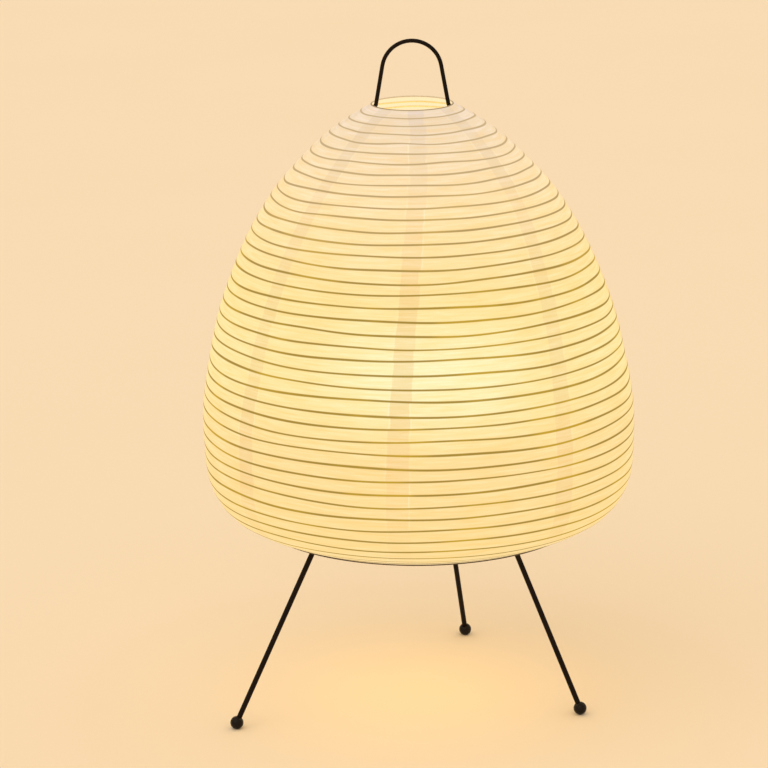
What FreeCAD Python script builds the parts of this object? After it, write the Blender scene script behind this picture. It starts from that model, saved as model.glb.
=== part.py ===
import FreeCAD, Part
import math
import os
import Sketcher

# Paper table lamp, in millimetres and degrees. +Z is up and the origin is on the table,
# under the lamp's axis. The front faces -Y, and the handle spans X.

doc = FreeCAD.newDocument("paper_table_lamp")
legs = ("left", "right", "rear")

# Stations of the shade's outline, from its mouth to its hem: name, height, radius
stations = (
    ("mouth", 368.5, 24.0),
    ("crown", 355.3, 44.9),
    ("brow", 332.3, 70.1),
    ("shoulder", 310.3, 88.0),
    ("chest", 265.3, 111.0),
    ("flank", 220.3, 124.2),
    ("belly", 168.0, 130.0),
    ("hip", 131.3, 122.5),
    ("tuck", 117.8, 104.0),
    ("hem", 110.0, 76.0),
)

sizes = {
    # ball feet and rod legs; a leg's turn is its direction about the axis, from +X
    "ball_radius": 4.0,
    "ball_flat": 0.3,
    "leg_radius": 1.6,
    "leg_meeting_height": 240.0,
    "left_leg_turn": -151.2,
    "right_leg_turn": -24.1,
    "rear_leg_turn": 73.6,
    "left_foot_reach": 127.5,
    "right_foot_reach": 104.9,
    "rear_foot_reach": 101.7,
    "socket_clearance": 0.03,
    "leg_stub": 1.5,
    "leg_nut_flats": 6.5,
    "leg_nut_height": 2.6,
    "nut_clearance": 0.05,
    # spider plate
    "plate_height": 118.0,
    "plate_thickness": 2.0,
    "arm_width": 14.0,
    "tab_length": 16.0,
    "disc_radius": 19.0,
    "ear_width": 10.0,
    "leg_hole_clearance": 0.1,
    # stretcher wire, with the handle at its top, and the sleeves that take its ends
    "wire_radius": 1.2,
    "handle_rise": 36.3,
    "handle_arch_radius": 17.5,
    "ring_clearance": 0.2,
    "shoulder_reach": 5.0,
    "shoulder_drop": 1.0,
    "shoulder_bend": 2.2,
    "stretcher_spread": 44.0,
    "stretcher_bend": 25.0,
    "stretcher_lead": 5.0,
    "sleeve_height": 14.0,
    "sleeve_wall": 0.9,
    "sleeve_clearance": 0.1,
    # paper shade, which leans a little to the left
    "mouth_shift": -2.5,
    "paper_thickness": 0.4,
    "paste_gap": 0.05,
    "seam_turn": -95.0,
    "seam_relief": 0.05,
    "hoop_size": 0.9,
    "outline_sag": 0.4,
    "ring_width": 1.0,
    "ring_depth": 1.0,
    "slide_gap": 0.3,
    # threaded nipple, its nut and the cord gland
    "nipple_radius": 5.0,
    "nipple_bore": 3.5,
    "nipple_drop": 10.0,
    "nipple_rise": 1.5,
    "nipple_nut_flats": 14.0,
    "nipple_nut_height": 4.0,
    "thread_clearance": 0.05,
    "gland_radius": 7.5,
    "gland_nose_radius": 5.5,
    "gland_nose_height": 4.0,
    "gland_neck": 8.0,
    "gland_bore": 3.1,
    # lampholder
    "cup_foot_radius": 14.0,
    "cup_radius": 20.0,
    "cup_height": 20.0,
    "cup_flare": 7.0,
    "cup_floor": 7.0,
    "cup_wall": 2.0,
    "cup_ledge": 2.0,
    "holder_fit": 0.1,
    "spigot_length": 4.0,
    "shell_height": 26.0,
    "shell_chamfer": 1.5,
    "spigot_wall": 1.2,
    "shell_lip": 2.0,
    "shell_clearance": 1.1,
    "insert_rim_height": 4.0,
    "insert_boss_height": 3.0,
    "insert_boss_margin": 0.6,
    "screw_contact_height": 24.0,
    "screw_contact_wall": 0.5,
    "tongue_length": 10.0,
    "tongue_width": 6.0,
    "tongue_pad": 6.0,
    "tongue_thickness": 0.5,
    "tongue_rise": 1.6,
    "terminal_spread": 9.0,
    "terminal_radius": 2.2,
    "terminal_height": 1.8,
    # light bulb
    "contact_gap": 0.2,
    "eyelet_radius": 4.6,
    "eyelet_height": 1.2,
    "insulator_height": 4.0,
    "insulator_radius": 11.6,
    "cap_radius": 13.1,
    "cap_clearance": 0.3,
    "cap_height": 21.5,
    "housing_height": 38.0,
    "housing_collar_height": 8.0,
    "housing_collar_flare": 1.5,
    "housing_lip": 1.5,
    "globe_radius": 30.0,
    "globe_rim": 2.0,
    "board_clearance": 0.4,
    "board_thickness": 1.6,
}
for station, station_height, station_radius in stations:
    sizes[f"{station}_height"] = station_height
    sizes[f"{station}_radius"] = station_radius

# Numbers of repeated pieces, and of the flat facets that keep the many pieces light
gore_count = 8
gore_facets = 6
hoop_count = 43
hoop_facets = 24
nut_sides = 6

# Angles above the rim at which the bulb's dome changes slope
dome_steps = (25, 50, 72)

# Places that follow from the driving sizes
layout = {
    "ball_height": "sizes.ball_radius - sizes.ball_flat",
    "leg_rise": "sizes.leg_meeting_height - ball_height",
    "plate_top": "sizes.plate_height + sizes.plate_thickness",
    "nut_bottom": "sizes.plate_height - sizes.nipple_nut_height",
    "nipple_bottom": "sizes.plate_height - sizes.nipple_drop",
    "nipple_top": "plate_top + sizes.cup_floor + sizes.nipple_rise",
    "thread_radius": "sizes.nipple_radius + sizes.thread_clearance",
    "gland_bottom": "nipple_bottom - sizes.gland_neck",
    "cup_top": "plate_top + sizes.cup_height",
    "cup_bore": "sizes.cup_radius - sizes.cup_wall",
    "core_radius": "cup_bore - sizes.holder_fit",
    "insert_shoulder": "cup_top - sizes.spigot_length",
    "insert_bottom": "insert_shoulder - sizes.insert_rim_height",
    "insert_top": "insert_shoulder + sizes.insert_boss_height",
    "contact_bore": "sizes.cap_radius + sizes.cap_clearance",
    "contact_radius": "contact_bore + sizes.screw_contact_wall",
    "shell_bore": "core_radius - sizes.spigot_wall",
    "lip_radius": "contact_radius + sizes.shell_clearance",
    "shell_top": "cup_top + sizes.shell_height",
    "tongue_top": "insert_top + sizes.tongue_rise + sizes.tongue_thickness",
    "eyelet_bottom": "tongue_top + sizes.contact_gap",
    "insulator_bottom": "eyelet_bottom + sizes.eyelet_height",
    "cap_bottom": "insulator_bottom + sizes.insulator_height",
    "cap_top": "cap_bottom + sizes.cap_height",
    "housing_top": "cap_top + sizes.housing_height",
    "board_recess": "sizes.globe_radius - sizes.globe_rim",
    "ring_outer": "sizes.mouth_radius - sizes.paste_gap",
    "ring_inner": "ring_outer - sizes.ring_width",
    "ring_bottom": "sizes.mouth_height - sizes.ring_depth",
    "hem_ring_outer": "sizes.hem_radius - sizes.slide_gap",
    "hem_ring_inner": "hem_ring_outer - sizes.ring_width",
    "hem_ring_bottom": "sizes.hem_height - sizes.ring_depth / 2",
    "wire_bore": "sizes.wire_radius + sizes.sleeve_clearance",
    "sleeve_radius": "wire_bore + sizes.sleeve_wall",
}
for leg in legs:
    reach = f"sizes.{leg}_foot_reach"
    layout[f"{leg}_lean"] = f"atan({reach} / leg_rise)"
    layout[f"{leg}_tab_height"] = f"sizes.plate_height + sizes.tab_length / 2 * sin({leg}_lean)"
    layout[f"{leg}_tab_radius"] = (
        f"{reach} * (sizes.leg_meeting_height - {leg}_tab_height) / leg_rise"
    )
    layout[f"{leg}_bend_radius"] = f"{leg}_tab_radius - sizes.tab_length / 2 * cos({leg}_lean)"
    layout[f"{leg}_grip"] = f"({leg}_tab_height - ball_height) / cos({leg}_lean)"


def fill_sheet(name, rows):
    sheet = doc.addObject("Spreadsheet::Sheet", name)
    for row, (alias, content) in enumerate(rows.items(), start=1):
        sheet.set(f"A{row}", alias)
        sheet.set(f"B{row}", content)
        sheet.setAlias(f"B{row}", alias)
    doc.recompute()
    return sheet


size_sheet = fill_sheet("sizes", {alias: str(size) for alias, size in sizes.items()})
layout_sheet = fill_sheet("layout", {alias: f"={rule}" for alias, rule in layout.items()})


def number(expression):
    result = layout_sheet.evalExpression(expression)
    return float(getattr(result, "Value", result))


def size(alias):
    return number(f"sizes.{alias}")


def place(alias):
    return number(f"layout.{alias}")


# Makers of pieces

def origin_plane(body, role):
    return next(plane for plane in body.Origin.OriginFeatures if plane.Role == role)


def side_sketch(body, name, corners):
    # A closed outline on the body's XZ plane, each corner an (x, z) pair of expressions
    sketch = body.newObject("Sketcher::SketchObject", name)
    sketch.AttachmentSupport = (origin_plane(body, "XZ_Plane"), [""])
    sketch.MapMode = "FlatFace"
    points = [FreeCAD.Vector(number(x), number(z), 0) for x, z in corners]
    for index, point in enumerate(points):
        following = points[(index + 1) % len(points)]
        sketch.addGeometry(Part.LineSegment(point, following), False)
    for index in range(len(points)):
        following = (index + 1) % len(points)
        sketch.addConstraint(Sketcher.Constraint("Coincident", index, 2, following, 1))
    for index, (x, z) in enumerate(corners):
        if x == "0":
            sketch.addConstraint(Sketcher.Constraint("PointOnObject", index, 1, -2))
        else:
            bind(sketch, "DistanceX", index, x)
        bind(sketch, "DistanceY", index, z)
    return sketch


def bind(sketch, kind, corner, expression):
    rule = Sketcher.Constraint(kind, -1, 1, corner, 1, number(expression))
    constraint = sketch.addConstraint(rule)
    sketch.setExpression(f"Constraints[{constraint}]", expression)


def turned(label, corners):
    # A piece turned about the lamp's axis, each corner a (radius, height) pair of expressions
    body = doc.addObject("PartDesign::Body", label)
    sketch = side_sketch(body, f"{label}_outline", corners)
    turn = body.newObject("PartDesign::Revolution", f"{label}_turn")
    turn.Profile = sketch
    turn.ReferenceAxis = (sketch, ["V_Axis"])
    turn.Angle = 360
    body.Tip = turn
    return body


def bent_strip(label, corners, width):
    # A flat strip bent in the XZ plane, with its width across Y
    body = doc.addObject("PartDesign::Body", label)
    pad = body.newObject("PartDesign::Pad", f"{label}_pad")
    pad.Profile = side_sketch(body, f"{label}_side", corners)
    pad.SideType = "Symmetric"
    pad.setExpression("Length", width)
    body.Tip = pad
    return body


def primitive(kind, name, spot, **properties):
    solid = doc.addObject(f"Part::{kind}", name)
    for name_of_property, expression in properties.items():
        solid.setExpression(name_of_property, expression)
    solid.setExpression("Placement", spot)
    return solid


def at(x, y, z):
    return f"placement(vector({x}; {y}; {z}); rotation(0; 0; 0))"


def leg_point(leg, distance):
    # A point on a leg's axis, this far above the centre of its ball
    turn = f"sizes.{leg}_leg_turn"
    lean = f"layout.{leg}_lean"
    radius = f"(sizes.{leg}_foot_reach - ({distance}) * sin({lean}))"
    height = f"layout.ball_height + ({distance}) * cos({lean})"
    return f"vector({radius} * cos({turn}); {radius} * sin({turn}); {height})"


def on_leg(leg, distance):
    # The same point, with Z along the leg
    rotation = f"rotation(sizes.{leg}_leg_turn; -layout.{leg}_lean; 0)"
    return f"placement({leg_point(leg, distance)}; {rotation})"


def cut(label, base, tool):
    piece = doc.addObject("Part::Cut", label)
    piece.Base = base
    piece.Tool = tool
    return piece


def group(label, members):
    piece = doc.addObject("Part::Compound", label)
    piece.Links = members
    return piece


def drilled_nut(name, spot, flats, height, bore):
    blank = primitive(
        "Prism", f"{name}_blank", spot, Circumradius=f"{flats} / sqrt(3)", Height=height
    )
    blank.Polygon = nut_sides
    hole = primitive("Cylinder", f"{name}_hole", spot, Radius=bore, Height=height)
    return cut(name, blank, hole)


def made(label, shape):
    piece = doc.addObject("Part::Feature", label)
    piece.Shape = shape
    piece.Placement = FreeCAD.Placement()
    return piece


# Feet and legs: straight rods glued into the balls and bolted to the spider's tabs

def make_foot(leg):
    ball = primitive(
        "Sphere",
        f"{leg}_ball",
        f"placement({leg_point(leg, '0')}; rotation(0; 0; 0))",
        Radius="sizes.ball_radius",
        Angle1="-asin(layout.ball_height / sizes.ball_radius)",
    )
    socket = primitive(
        "Cylinder",
        f"{leg}_ball_socket",
        on_leg(leg, "0"),
        Radius="sizes.leg_radius + sizes.socket_clearance",
        Height="sizes.ball_radius * 2",
    )
    return cut(f"{leg}_foot", ball, socket)


def make_leg(leg):
    return primitive(
        "Cylinder",
        f"{leg}_leg",
        on_leg(leg, "0"),
        Radius="sizes.leg_radius",
        Height=f"layout.{leg}_grip + sizes.plate_thickness + sizes.leg_nut_height + sizes.leg_stub",
    )


def make_leg_nuts(leg):
    below = f"layout.{leg}_grip - sizes.leg_nut_height"
    above = f"layout.{leg}_grip + sizes.plate_thickness"
    bore = "sizes.leg_radius + sizes.nut_clearance"
    return [
        drilled_nut(
            f"{leg}_nut_{side}",
            on_leg(leg, distance),
            "sizes.leg_nut_flats",
            "sizes.leg_nut_height",
            bore,
        )
        for side, distance in (("below", below), ("above", above))
    ]


# Spider plate: a disc under the lampholder, an arm with a bent tab for each leg,
# and an ear on each side for the stretcher

def make_arm(leg):
    bend = f"layout.{leg}_bend_radius"
    lean = f"layout.{leg}_lean"
    thickness = "sizes.plate_thickness"
    tip_radius = f"{bend} + sizes.tab_length * cos({lean})"
    tip_height = f"sizes.plate_height + sizes.tab_length * sin({lean})"
    arm = bent_strip(
        f"{leg}_arm",
        [
            ("0", "sizes.plate_height"),
            (bend, "sizes.plate_height"),
            (tip_radius, tip_height),
            (f"{tip_radius} - {thickness} * sin({lean})", f"{tip_height} + {thickness} * cos({lean})"),
            (f"{bend} - {thickness} * tan({lean} / 2)", "layout.plate_top"),
            ("0", "layout.plate_top"),
        ],
        "sizes.arm_width",
    )
    arm.setExpression(
        "Placement", f"placement(vector(0; 0; 0); rotation(sizes.{leg}_leg_turn; 0; 0))"
    )
    return arm


def make_ears():
    bar = primitive(
        "Box",
        "ear_bar",
        at("-sizes.stretcher_spread", "-sizes.ear_width / 2", "sizes.plate_height"),
        Length="2 * sizes.stretcher_spread",
        Width="sizes.ear_width",
        Height="sizes.plate_thickness",
    )
    ends = [
        primitive(
            "Cylinder",
            f"{side}_ear_end",
            at(f"{sign}sizes.stretcher_spread", "0", "sizes.plate_height"),
            Radius="sizes.ear_width / 2",
            Height="sizes.plate_thickness",
        )
        for side, sign in (("left", "-"), ("right", ""))
    ]
    return [bar] + ends


def make_spider_plate():
    disc = primitive(
        "Cylinder",
        "spider_disc",
        at("0", "0", "sizes.plate_height"),
        Radius="sizes.disc_radius",
        Height="sizes.plate_thickness",
    )
    blank = doc.addObject("Part::MultiFuse", "spider_blank")
    blank.Shapes = [disc] + [make_arm(leg) for leg in legs] + make_ears()
    drills = [
        primitive(
            "Cylinder",
            f"{leg}_leg_drill",
            on_leg(leg, f"layout.{leg}_grip - sizes.plate_thickness"),
            Radius="sizes.leg_radius + sizes.leg_hole_clearance",
            Height="3 * sizes.plate_thickness",
        )
        for leg in legs
    ]
    drills.append(
        primitive(
            "Cylinder",
            "nipple_drill",
            at("0", "0", "sizes.plate_height - sizes.plate_thickness"),
            Radius="layout.thread_radius",
            Height="3 * sizes.plate_thickness",
        )
    )
    return cut("spider_plate", blank, group("spider_drills", drills))


# Sleeves on the ears and the stretcher that stands in them

def make_sleeve(side, sign):
    spot = at(f"{sign}sizes.stretcher_spread", "0", "layout.plate_top")
    height = "sizes.sleeve_height"
    tube = primitive(
        "Cylinder", f"{side}_tube", spot, Radius="layout.sleeve_radius", Height=height
    )
    bore = primitive(
        "Cylinder", f"{side}_tube_bore", spot, Radius="layout.wire_bore", Height=height
    )
    return cut(f"{side}_sleeve", tube, bore)


def rounded_path(points, bends):
    # Straight runs through the points, with a tangent arc of each bend radius between them
    edges = []
    start = points[0]
    for before, corner, after, bend in zip(points, points[1:], points[2:], bends):
        back = (before - corner).normalize()
        ahead = (after - corner).normalize()
        half_turn = (math.pi - back.getAngle(ahead)) / 2
        first = corner + back * (bend * math.tan(half_turn))
        last = corner + ahead * (bend * math.tan(half_turn))
        inward = (back + ahead).normalize()
        middle = corner + inward * (bend / math.cos(half_turn) - bend)
        edges.append(Part.LineSegment(start, first).toShape())
        edges.append(Part.Arc(first, middle, last).toShape())
        start = last
    edges.append(Part.LineSegment(start, points[-1]).toShape())
    return edges


def handle_tangent(hook, side):
    # Where the straight side of the handle runs into its arch
    arch = size("handle_arch_radius")
    centre = handle_crown() - FreeCAD.Vector(0, 0, arch)
    to_hook = hook - centre
    slope = math.atan2(to_hook.z, side * to_hook.x) + math.acos(arch / to_hook.Length)
    return centre + FreeCAD.Vector(side * math.cos(slope), 0, math.sin(slope)) * arch


def handle_crown():
    return FreeCAD.Vector(size("mouth_shift"), 0, size("mouth_height") + size("handle_rise"))


def stretcher_side(side):
    # One side of the wire, from the arch of the handle through the mouth and under its ring to a sleeve
    standoff = size("ring_clearance") + size("wire_radius")
    hook_x = size("mouth_shift") + side * (place("ring_inner") - standoff)
    hook = FreeCAD.Vector(hook_x, 0, place("ring_bottom") - standoff)
    shoulder = hook + FreeCAD.Vector(side * size("shoulder_reach"), 0, -size("shoulder_drop"))
    foot = FreeCAD.Vector(side * size("stretcher_spread"), 0, place("plate_top"))
    elbow = foot + FreeCAD.Vector(0, 0, size("sleeve_height") + size("stretcher_lead"))
    bends = [size("shoulder_bend")] * 2 + [size("stretcher_bend")]
    return rounded_path([handle_tangent(hook, side), hook, shoulder, elbow, foot], bends)


def make_stretcher():
    wire = size("wire_radius")
    left, right = stretcher_side(-1), stretcher_side(1)
    arch_ends = [side[0].Vertexes[0].Point for side in (left, right)]
    arch = Part.Arc(arch_ends[0], handle_crown(), arch_ends[1]).toShape()
    path = Part.Wire(list(reversed(left)) + [arch] + right)
    foot = left[-1].Vertexes[-1].Point
    section = Part.Face(Part.Wire(Part.makeCircle(wire, foot, FreeCAD.Vector(0, 0, 1))))
    stretcher = path.makePipe(section)
    swept = math.pi * wire ** 2 * path.Length
    if abs(stretcher.Volume - swept) > 0.001 * swept:
        raise ValueError("the stretcher's volume isn't its section times its length")
    return made("stretcher", stretcher)


# Shade: paper gores over hoops that stand at equal steps along the outline

def shade_outline():
    # Points along the shade's inner face, closer together where it curves more
    points = [
        FreeCAD.Vector(size(f"{station}_radius"), 0, size(f"{station}_height"))
        for station, _, _ in stations
    ]
    curve = Part.BSplineCurve()
    curve.interpolate(points)
    return curve.toShape().discretize(Deflection=size("outline_sag"))


def outward_normals(points):
    normals = []
    for index in range(len(points)):
        before = points[max(index - 1, 0)]
        after = points[min(index + 1, len(points) - 1)]
        along = (after - before).normalize()
        normals.append(FreeCAD.Vector(-along.z, 0, along.x))
    return normals


def lean(height):
    # How far the shade stands aside at this height: not at all at its hem, and most at its mouth
    hem = size("hem_height")
    return size("mouth_shift") * (height - hem) / (size("mouth_height") - hem)


def facet_turn(section, turns, ends):
    # A section turned about the leaning axis in flat facets, one for each step of turn
    asides = [FreeCAD.Vector(lean(point.z), 0, point.z) for point in section]
    slices = [
        [
            aside + FreeCAD.Vector(math.cos(turn), math.sin(turn), 0) * point.x
            for aside, point in zip(asides, section)
        ]
        for turn in map(math.radians, turns)
    ]
    outlines = [
        [near[index - 1], near[index], far[index], far[index - 1]]
        for near, far in zip(slices, slices[1:])
        for index in range(len(section))
    ]
    if ends:
        outlines += [slices[0], slices[-1]]
    shell = Part.makeShell([Part.Face(Part.makePolygon(o + o[:1])) for o in outlines])
    shell.sewShape()
    solid = Part.makeSolid(shell)
    if solid.Volume < 0:
        solid.reverse()
    return solid


def make_gores(inner):
    outer = [
        point + normal * size("paper_thickness")
        for point, normal in zip(inner, outward_normals(inner))
    ]
    sector = 360 / gore_count
    step = (sector - size("seam_relief")) / gore_facets
    gores = []
    for index in range(gore_count):
        seam = size("seam_turn") + index * sector
        turns = [seam + facet * step for facet in range(gore_facets + 1)]
        gores.append(facet_turn(inner + list(reversed(outer)), turns, ends=True))
    return made("paper_gores", Part.makeCompound(gores))


def make_hoops(inner):
    stops = Part.makePolygon(inner).discretize(Number=hoop_count + 2)
    half = size("hoop_size") / 2
    setback = half * math.sqrt(2) + size("paste_gap")
    section = [FreeCAD.Vector(x, 0, z) for x, z in ((half, half), (half, -half), (-half, 0))]
    turns = [size("seam_turn") + 360 * facet / hoop_facets for facet in range(hoop_facets + 1)]
    hoops = []
    for point, normal in list(zip(stops, outward_normals(stops)))[1:-1]:
        seat = point - normal * setback
        hoops.append(facet_turn([seat + corner for corner in section], turns, ends=False))
    return made("rib_hoops", Part.makeCompound(hoops))


def ring(label, inner, outer, bottom, aside):
    top = f"{bottom} + sizes.ring_depth"
    hoop = turned(label, [(inner, bottom), (outer, bottom), (outer, top), (inner, top)])
    hoop.setExpression("Placement", at(aside, "0", "0"))
    return hoop


def make_top_ring():
    return ring(
        "top_ring",
        "layout.ring_inner",
        "layout.ring_outer",
        "layout.ring_bottom",
        "sizes.mouth_shift",
    )


def make_bottom_ring():
    return ring(
        "bottom_ring",
        "layout.hem_ring_inner",
        "layout.hem_ring_outer",
        "layout.hem_ring_bottom",
        "0",
    )


# Nipple, its nut and the cord gland, under the plate

def make_nipple():
    bottom = "layout.nipple_bottom"
    top = "layout.nipple_top"
    return turned(
        "nipple",
        [
            ("sizes.nipple_bore", bottom),
            ("sizes.nipple_radius", bottom),
            ("sizes.nipple_radius", top),
            ("sizes.nipple_bore", top),
        ],
    )


def make_nipple_nut():
    return drilled_nut(
        "nipple_nut",
        at("0", "0", "layout.nut_bottom"),
        "sizes.nipple_nut_flats",
        "sizes.nipple_nut_height",
        "layout.thread_radius",
    )


def make_cord_gland():
    bottom = "layout.gland_bottom"
    return turned(
        "cord_gland",
        [
            ("sizes.gland_bore", bottom),
            ("sizes.gland_nose_radius", bottom),
            ("sizes.gland_radius", f"{bottom} + sizes.gland_nose_height"),
            ("sizes.gland_radius", "layout.nut_bottom"),
            ("layout.thread_radius", "layout.nut_bottom"),
            ("layout.thread_radius", "layout.nipple_bottom"),
            ("sizes.gland_bore", "layout.nipple_bottom"),
        ],
    )


# Lampholder, on top of the plate

def make_holder_cup():
    bore = "layout.cup_bore"
    seat = "layout.cup_bore - sizes.cup_ledge"
    return turned(
        "holder_cup",
        [
            ("layout.thread_radius", "layout.plate_top"),
            ("sizes.cup_foot_radius", "layout.plate_top"),
            ("sizes.cup_radius", "layout.plate_top + sizes.cup_flare"),
            ("sizes.cup_radius", "layout.cup_top"),
            (bore, "layout.cup_top"),
            (bore, "layout.insert_bottom"),
            (seat, "layout.insert_bottom"),
            (seat, "layout.plate_top + sizes.cup_floor"),
            ("layout.thread_radius", "layout.plate_top + sizes.cup_floor"),
        ],
    )


def make_holder_shell():
    edge = "layout.shell_top - sizes.shell_chamfer"
    lip = "layout.shell_top - sizes.shell_lip"
    return turned(
        "holder_shell",
        [
            ("layout.shell_bore", "layout.insert_shoulder"),
            ("layout.core_radius", "layout.insert_shoulder"),
            ("layout.core_radius", "layout.cup_top"),
            ("sizes.cup_radius", "layout.cup_top"),
            ("sizes.cup_radius", edge),
            ("sizes.cup_radius - sizes.shell_chamfer", "layout.shell_top"),
            ("layout.lip_radius", "layout.shell_top"),
            ("layout.lip_radius", lip),
            ("layout.shell_bore", lip),
        ],
    )


def make_holder_insert():
    boss = "layout.contact_radius + sizes.insert_boss_margin"
    return turned(
        "holder_insert",
        [
            ("0", "layout.insert_bottom"),
            ("layout.core_radius", "layout.insert_bottom"),
            ("layout.core_radius", "layout.insert_shoulder"),
            (boss, "layout.insert_shoulder"),
            (boss, "layout.insert_top"),
            ("0", "layout.insert_top"),
        ],
    )


def make_screw_contact():
    top = "layout.insert_top + sizes.screw_contact_height"
    return turned(
        "screw_contact",
        [
            ("layout.contact_bore", "layout.insert_top"),
            ("layout.contact_radius", "layout.insert_top"),
            ("layout.contact_radius", top),
            ("layout.contact_bore", top),
        ],
    )


def make_centre_contact():
    heel = "-sizes.tongue_length"
    foot = "-sizes.tongue_length + sizes.tongue_pad / 2"
    pad = "sizes.tongue_pad / 2"
    low = "layout.insert_top"
    high = "layout.insert_top + sizes.tongue_rise"
    thick = "sizes.tongue_thickness"
    return bent_strip(
        "centre_contact",
        [
            (heel, low),
            (foot, low),
            (f"-{pad}", high),
            (pad, high),
            (pad, f"{high} + {thick}"),
            (f"-{pad}", f"{high} + {thick}"),
            (foot, f"{low} + {thick}"),
            (heel, f"{low} + {thick}"),
        ],
        "sizes.tongue_width",
    )


def make_terminal_screw(side, sign):
    return primitive(
        "Cylinder",
        f"{side}_terminal_screw",
        at(f"{sign}sizes.terminal_spread", "0", "layout.insert_bottom - sizes.terminal_height"),
        Radius="sizes.terminal_radius",
        Height="sizes.terminal_height",
    )


# Light bulb, screwed into the lampholder

def make_bulb_eyelet():
    bottom = "layout.eyelet_bottom"
    top = "layout.insulator_bottom"
    return turned(
        "bulb_eyelet",
        [("0", bottom), ("sizes.eyelet_radius", bottom), ("sizes.eyelet_radius", top), ("0", top)],
    )


def make_bulb_insulator():
    return turned(
        "bulb_insulator",
        [
            ("0", "layout.insulator_bottom"),
            ("sizes.eyelet_radius", "layout.insulator_bottom"),
            ("sizes.insulator_radius", "layout.cap_bottom"),
            ("0", "layout.cap_bottom"),
        ],
    )


def make_bulb_cap():
    return turned(
        "bulb_cap",
        [
            ("0", "layout.cap_bottom"),
            ("sizes.cap_radius", "layout.cap_bottom"),
            ("sizes.cap_radius", "layout.cap_top"),
            ("0", "layout.cap_top"),
        ],
    )


def make_bulb_housing():
    neck = "sizes.cap_radius"
    rim = "layout.housing_top"
    return turned(
        "bulb_housing",
        [
            ("0", "layout.cap_top"),
            (neck, "layout.cap_top"),
            (
                f"{neck} + sizes.housing_collar_flare",
                "layout.cap_top + sizes.housing_collar_height",
            ),
            ("sizes.globe_radius", f"{rim} - sizes.housing_lip"),
            ("sizes.globe_radius", rim),
            ("0", rim),
        ],
    )


def make_bulb_board():
    return primitive(
        "Cylinder",
        "bulb_board",
        at("0", "0", "layout.housing_top"),
        Radius="layout.board_recess - sizes.board_clearance",
        Height="sizes.board_thickness",
    )


def make_bulb_diffuser():
    rim = "layout.housing_top"
    ceiling = f"{rim} + sizes.board_thickness + sizes.board_clearance"
    dome = [
        (f"sizes.globe_radius * cos({angle})", f"{rim} + sizes.globe_radius * sin({angle})")
        for angle in dome_steps
    ]
    return turned(
        "bulb_diffuser",
        [
            ("0", ceiling),
            ("layout.board_recess", ceiling),
            ("layout.board_recess", rim),
            ("sizes.globe_radius", rim),
            *dome,
            ("0", f"{rim} + sizes.globe_radius"),
        ],
    )


sides = (("left", "-"), ("right", ""))
outline = shade_outline()
nodes = [
    group("ball_feet", [make_foot(leg) for leg in legs]),
    *(make_leg(leg) for leg in legs),
    group("leg_nuts", [nut for leg in legs for nut in make_leg_nuts(leg)]),
    make_spider_plate(),
    group("stretcher_sleeves", [make_sleeve(side, sign) for side, sign in sides]),
    make_stretcher(),
    make_gores(outline),
    make_hoops(outline),
    make_top_ring(),
    make_bottom_ring(),
    make_nipple(),
    make_nipple_nut(),
    make_cord_gland(),
    make_holder_cup(),
    make_holder_shell(),
    make_holder_insert(),
    make_screw_contact(),
    make_centre_contact(),
    group("terminal_screws", [make_terminal_screw(side, sign) for side, sign in sides]),
    make_bulb_eyelet(),
    make_bulb_insulator(),
    make_bulb_cap(),
    make_bulb_housing(),
    make_bulb_board(),
    make_bulb_diffuser(),
]
doc.recompute()

for piece in doc.Objects:
    if "Invalid" in piece.State or "Error" in piece.State:
        raise ValueError(f"{piece.Label} failed to build")
for node in nodes:
    if node.Shape.isNull() or not node.Shape.isValid():
        raise ValueError(f"{node.Label} has no valid shape")

os.makedirs("parts", exist_ok=True)
for node in nodes:
    node.Shape.exportStep(f"parts/{node.Label}.step")
    solids = len(node.Shape.Solids)
    print(f"{node.Label}: {solids} solids, {node.Shape.Volume:.1f} mm3")
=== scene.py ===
import math
import bmesh
import bpy
from mathutils import Matrix, Vector


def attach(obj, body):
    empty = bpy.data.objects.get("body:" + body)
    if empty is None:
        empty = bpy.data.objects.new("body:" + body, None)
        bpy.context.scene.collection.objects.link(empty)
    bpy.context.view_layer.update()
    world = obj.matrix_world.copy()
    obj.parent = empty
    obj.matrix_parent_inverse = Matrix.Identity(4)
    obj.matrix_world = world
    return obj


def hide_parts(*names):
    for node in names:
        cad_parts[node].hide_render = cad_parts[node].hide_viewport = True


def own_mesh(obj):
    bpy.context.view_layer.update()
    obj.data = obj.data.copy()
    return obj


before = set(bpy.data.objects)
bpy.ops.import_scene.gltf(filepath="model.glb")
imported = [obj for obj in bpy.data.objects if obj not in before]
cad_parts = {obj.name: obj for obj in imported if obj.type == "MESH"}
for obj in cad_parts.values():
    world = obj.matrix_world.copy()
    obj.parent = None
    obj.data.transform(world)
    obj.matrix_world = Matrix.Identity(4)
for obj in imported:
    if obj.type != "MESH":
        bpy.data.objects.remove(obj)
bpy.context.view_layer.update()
mm = 0.001


# node helpers, used for geometry trees and for shader trees alike

def feed(tree, value, socket):
    if isinstance(value, bpy.types.NodeSocket):
        tree.links.new(value, socket)
    else:
        socket.default_value = value


def put(tree, kind, values=None, **settings):
    node = tree.nodes.new(kind)
    for key, value in settings.items():
        setattr(node, key, value)
    for key, value in (values or {}).items():
        feed(tree, value, node.inputs[key])
    return node


def calc(tree, operation, *values, clamp=False):
    node = tree.nodes.new("ShaderNodeMath")
    node.operation = operation
    node.use_clamp = clamp
    for value, socket in zip(values, node.inputs):
        feed(tree, value, socket)
    return node.outputs[0]


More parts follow.
